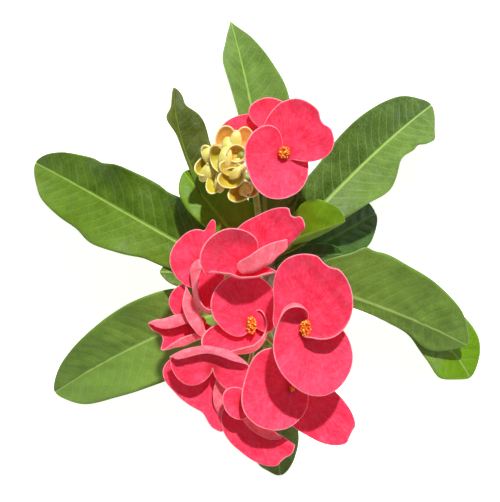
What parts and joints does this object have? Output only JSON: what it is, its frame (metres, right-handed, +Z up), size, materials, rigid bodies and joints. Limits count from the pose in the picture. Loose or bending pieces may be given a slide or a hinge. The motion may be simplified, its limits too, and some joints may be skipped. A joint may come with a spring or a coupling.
{
  "type": "crown of thorns plant",
  "caption": "Cut flowering shoot of a crown of thorns plant: thorny stem, long oval leaves, forked stalks of rose-red two-bract flowers and young yellow ones; lies on a surface.",
  "frame": {"origin": "middle of the bounding box in plan, on the surface the shoot lies on", "axes": "+Z up, off the surface; +Y from the stem's cut end towards its growing tip, as seen from above; +X to the right of that"},
  "size_m": [0.1821, 0.1861, 0.0853],
  "materials": {
    "stem": "grey-brown bark, matte",
    "stalk": "smooth green skin",
    "leaf": "waxy green, paler veins",
    "bract": "soft rose red, pale rim",
    "centre": "orange glands, moist",
    "young_bract": "pale yellow, soft"
  },
  "bodies": {
    "root": {"stem": "stem", "stalk_lower": "stalk", "stalk_upper": "stalk", "leaf_01": "leaf", "leaf_02": "leaf", "leaf_03": "leaf", "leaf_04": "leaf", "leaf_05": "leaf", "leaf_06": "leaf", "leaf_07": "leaf", "leaf_08": "leaf", "leaf_09": "leaf", "leaf_10": "leaf", "leaf_11": "leaf", "leaf_12": "leaf", "leaf_13": "leaf", "flower_01_bract_a": "bract", "flower_01_bract_b": "bract", "flower_02_bract_a": "bract", "flower_02_bract_b": "bract", "flower_03_bract_a": "bract", "flower_03_bract_b": "bract", "flower_04_bract_a": "bract", "flower_04_bract_b": "bract", "flower_05_bract_a": "bract", "flower_05_bract_b": "bract", "flower_06_bract_a": "bract", "flower_06_bract_b": "bract", "flower_07_bract_a": "bract", "flower_07_bract_b": "bract", "flower_08_bract_a": "bract", "flower_08_bract_b": "bract", "flower_09_bract_a": "bract", "flower_09_bract_b": "bract", "flower_10_bract_a": "bract", "flower_10_bract_b": "bract", "flower_01_centre": "centre", "flower_02_centre": "centre", "flower_03_centre": "centre", "flower_04_centre": "centre", "flower_05_centre": "centre", "flower_06_centre": "centre", "flower_07_centre": "centre", "flower_08_centre": "centre", "flower_09_centre": "centre", "flower_10_centre": "centre", "young_1": "young_bract", "young_2": "young_bract", "young_3": "young_bract", "young_4": "young_bract", "young_5": "young_bract", "young_6": "young_bract", "young_7": "young_bract", "young_8": "young_bract", "young_9": "young_bract"}
  },
  "joints": []
}
